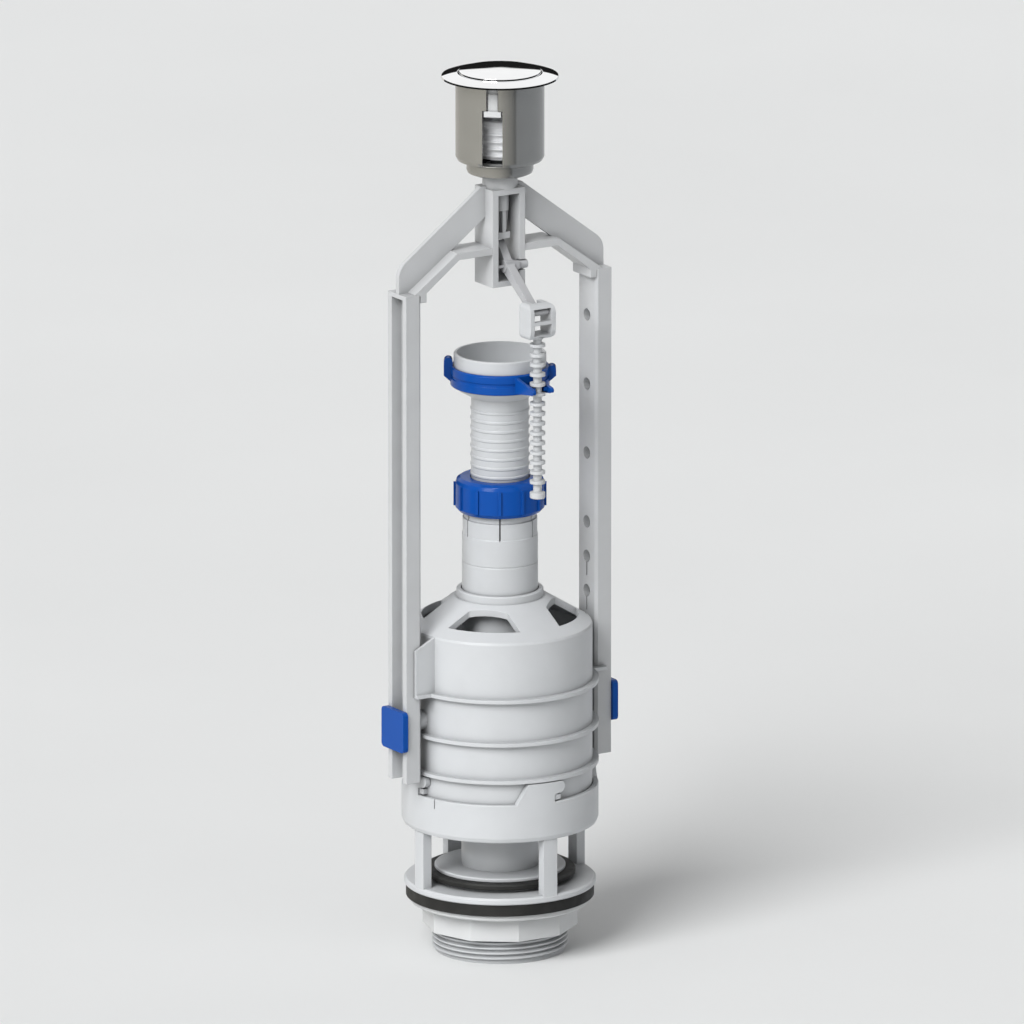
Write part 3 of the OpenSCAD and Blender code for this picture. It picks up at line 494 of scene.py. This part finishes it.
def coated_plastic(name, colour):
    finish, tree, surface = new_finish(name)
    spot = tree.nodes.new("ShaderNodeTexCoord").outputs["Object"]
    cloudy = spread(tree, speckle(tree, spot, 70.0), 0.0, 1.0)
    body = tint(tree, cloudy, shade(colour, 0.97), shade(colour, 1.03))
    link(tree, body.outputs["Result"], surface.inputs["Base Color"])
    uneven = speckle(tree, spot, 260.0, 5.0, 0.6)
    link(tree, spread(tree, uneven, *coat_gloss), surface.inputs["Roughness"])
    round_off = tree.nodes.new("ShaderNodeBevel")
    round_off.samples = 4
    round_off.inputs["Radius"].default_value = coat_round
    flake = tree.nodes.new("ShaderNodeBump")
    flake.inputs["Strength"].default_value = 0.08
    flake.inputs["Distance"].default_value = coat_flake
    link(tree, speckle(tree, spot, 2400.0, 2.0), flake.inputs["Height"])
    link(tree, round_off.outputs["Normal"], flake.inputs["Normal"])
    link(tree, flake.outputs["Normal"], surface.inputs["Normal"])
    surface.inputs["Metallic"].default_value = coat_metal
    return finish


dress("button_housing", coated_plastic("olive_coat", olive_shade))

# The stage: a pale paper floor, one broad and one small light from the front left, a room for the
# gloss to mirror, and a long lens a little above. None of it belongs to the part.
floor_reach = 14.0
floor_dim = (0.80, 0.81, 0.81)
floor_pale = (0.83, 0.84, 0.84)
sun_far = 2.0
floor_corners = [
    (-floor_reach, -floor_reach, 0), (floor_reach, -floor_reach, 0),
    (floor_reach, floor_reach, 0), (-floor_reach, floor_reach, 0),
]
floor_mesh = bpy.data.meshes.new("floor")
floor_mesh.from_pydata(floor_corners, [], [(0, 1, 2, 3)])
floor = bpy.data.objects.new("floor", floor_mesh)
bpy.context.collection.objects.link(floor)
floor_finish, floor_tree, floor_surface = new_finish("floor_paper")
floor_spot = floor_tree.nodes.new("ShaderNodeTexCoord").outputs["Object"]
floor_cloud = spread(floor_tree, speckle(floor_tree, floor_spot, 3.0), 0.0, 1.0)
floor_tone = tint(floor_tree, floor_cloud, floor_dim, floor_pale)
link(floor_tree, floor_tone.outputs["Result"], floor_surface.inputs["Base Color"])
floor_surface.inputs["Roughness"].default_value = 0.8
floor_mesh.materials.append(floor_finish)
floor.visible_glossy = False


def from_angles(turn, lift):
    return Vector((
        math.sin(turn) * math.cos(lift), -math.cos(turn) * math.cos(lift), math.sin(lift)))


def far_light(name, energy, breadth, turn, lift):
    lamp = bpy.data.lights.new(name, "SUN")
    lamp.energy = energy
    lamp.angle = math.radians(breadth)
    light = bpy.data.objects.new(name, lamp)
    bpy.context.collection.objects.link(light)
    way = from_angles(math.radians(turn), math.radians(lift))
    light.location = sun_far * way
    light.rotation_euler = (-way).to_track_quat("-Z", "Y").to_euler()
    return light


far_light("key_light", energy=2.75, breadth=34, turn=-64, lift=38)
glint_light = far_light("glint_light", energy=1.2, breadth=3, turn=-50, lift=62)
glint_light.visible_diffuse = False

studio = bpy.data.worlds.new("studio")
bpy.context.scene.world = studio
studio.use_nodes = True
sky = studio.node_tree
sky_way = sky.nodes.new("ShaderNodeTexCoord").outputs["Generated"]
sky_ray = sky.nodes.new("ShaderNodeLightPath").outputs


def sky_along(across):
    lean = sky.nodes.new("ShaderNodeVectorMath")
    lean.operation = "DOT_PRODUCT"
    link(sky, sky_way, lean.inputs[0])
    lean.inputs[1].default_value = across
    return lean.outputs["Value"]


def sky_stops(value, low, high, stops):
    ramp = sky.nodes.new("ShaderNodeValToRGB")
    first, last = ramp.color_ramp.elements
    first.position = 0.0
    first.color = (*stops[0][1], 1.0)
    last.position = 1.0
    last.color = (*stops[-1][1], 1.0)
    for place, colour in stops[1:-1]:
        mark = ramp.color_ramp.elements.new((place - low) / (high - low))
        mark.color = (*colour, 1.0)
    link(sky, spread(sky, value, 0.0, 1.0, low, high), ramp.inputs["Fac"])
    return ramp.outputs["Color"]


def sky_light(colour, strength):
    lit = sky.nodes.new("ShaderNodeBackground")
    if isinstance(colour, tuple):
        lit.inputs["Color"].default_value = (*colour, 1.0)
    else:
        link(sky, colour, lit.inputs["Color"])
    lit.inputs["Strength"].default_value = strength
    return lit.outputs["Background"]


def sky_choice(factor, first, second):
    pick = sky.nodes.new("ShaderNodeMixShader")
    link(sky, factor, pick.inputs["Fac"])
    link(sky, first, pick.inputs[1])
    link(sky, second, pick.inputs[2])
    return pick.outputs["Shader"]


def grey(level, warm=0.0):
    return (level * (1 + warm), level, level * (1 - 2 * warm))


cloth_way = (-0.72, -0.45, 0.53)
window_way = (0.53, 0.848, 0.0)
window_light = 1.5
wall_dark = 0.012
wall_top = 0.2225
cloth_foot = 0.2285
floor_line = -0.09
backdrop = (0.76, 0.77, 0.77)
up = sky_along((0.0, 0.0, 1.0))
# soft cloth all round: brighter to the left of the lens, dim behind and to the right
cloth = sky_stops(sky_along(cloth_way), -1.0, 1.0, [
    (-1.0, grey(0.03)), (-0.2, grey(0.06)), (0.5, grey(0.34)), (1.0, grey(0.55))])
# a low window behind the object, so that its back has form too
window_side = spread(sky, sky_along(window_way), 0.0, 1.0, 0.35, 0.65)
window_low = spread(sky, up, 1.0, 0.0, 0.30, 0.44)
window_shape = sky.nodes.new("ShaderNodeMath")
window_shape.operation = "MULTIPLY"
link(sky, window_side, window_shape.inputs[0])
link(sky, window_low, window_shape.inputs[1])
window = sky_light((1.0, 1.0, 1.0), window_light)
lit_room = sky_choice(window_shape.outputs["Value"], sky_light(cloth, 1.0), window)
# what the gloss sees: dark walls up to head height, white cloth above, the lit room below
upper = sky_stops(up, 0.0, 1.0, [
    (0.0, grey(wall_dark)), (wall_top, grey(wall_dark)), (cloth_foot, grey(1.0)), (1.0, grey(1.0))])
round_angle = sky.nodes.new("ShaderNodeMath")
round_angle.operation = "ARCTAN2"
link(sky, sky_along((0.982, 0.187, 0.0)), round_angle.inputs[0])
link(sky, sky_along((0.187, -0.982, 0.0)), round_angle.inputs[1])
lower = sky_stops(round_angle.outputs["Value"], -math.pi, math.pi, [
    (-math.pi, grey(0.74, 0.035)), (-1.44, grey(0.84, 0.035)), (-0.75, grey(0.70, 0.03)),
    (-0.20, grey(0.30)), (-0.04, grey(0.13, -0.04)), (0.03, grey(0.40, -0.05)),
    (0.82, grey(0.50, -0.045)), (1.75, grey(0.62, -0.03)), (math.pi, grey(0.74, 0.035))])
below = sky.nodes.new("ShaderNodeMath")
below.operation = "LESS_THAN"
below.inputs[1].default_value = floor_line
link(sky, up, below.inputs[0])
gloss_room = sky_choice(below.outputs["Value"], sky_light(upper, 1.0), sky_light(lower, 1.0))
soft_room = sky_choice(sky_ray["Is Glossy Ray"], lit_room, gloss_room)
seen_room = sky_choice(sky_ray["Is Camera Ray"], soft_room, sky_light(backdrop, 1.0))
sky_end = next(n for n in sky.nodes if n.type == "OUTPUT_WORLD")
link(sky, seen_room, sky_end.inputs["Surface"])

bpy.context.scene.view_settings.view_transform = "Standard"
view_turn = math.radians(-32)
view_lift = math.radians(14.3)
view_far = 12.0
view_wide = 0.4488
view_end = 60.0
aim = Vector((0.00447, -0.00279, 0.1976))
lens = bpy.data.cameras.new("camera")
lens.sensor_width = 36.0
lens.lens = lens.sensor_width * view_far / view_wide
lens.clip_end = view_end
camera = bpy.data.objects.new("camera", lens)
bpy.context.collection.objects.link(camera)
camera.location = aim + view_far * from_angles(view_turn, view_lift)
camera.rotation_euler = (aim - camera.location).to_track_quat("-Z", "Y").to_euler()
bpy.context.scene.camera = camera
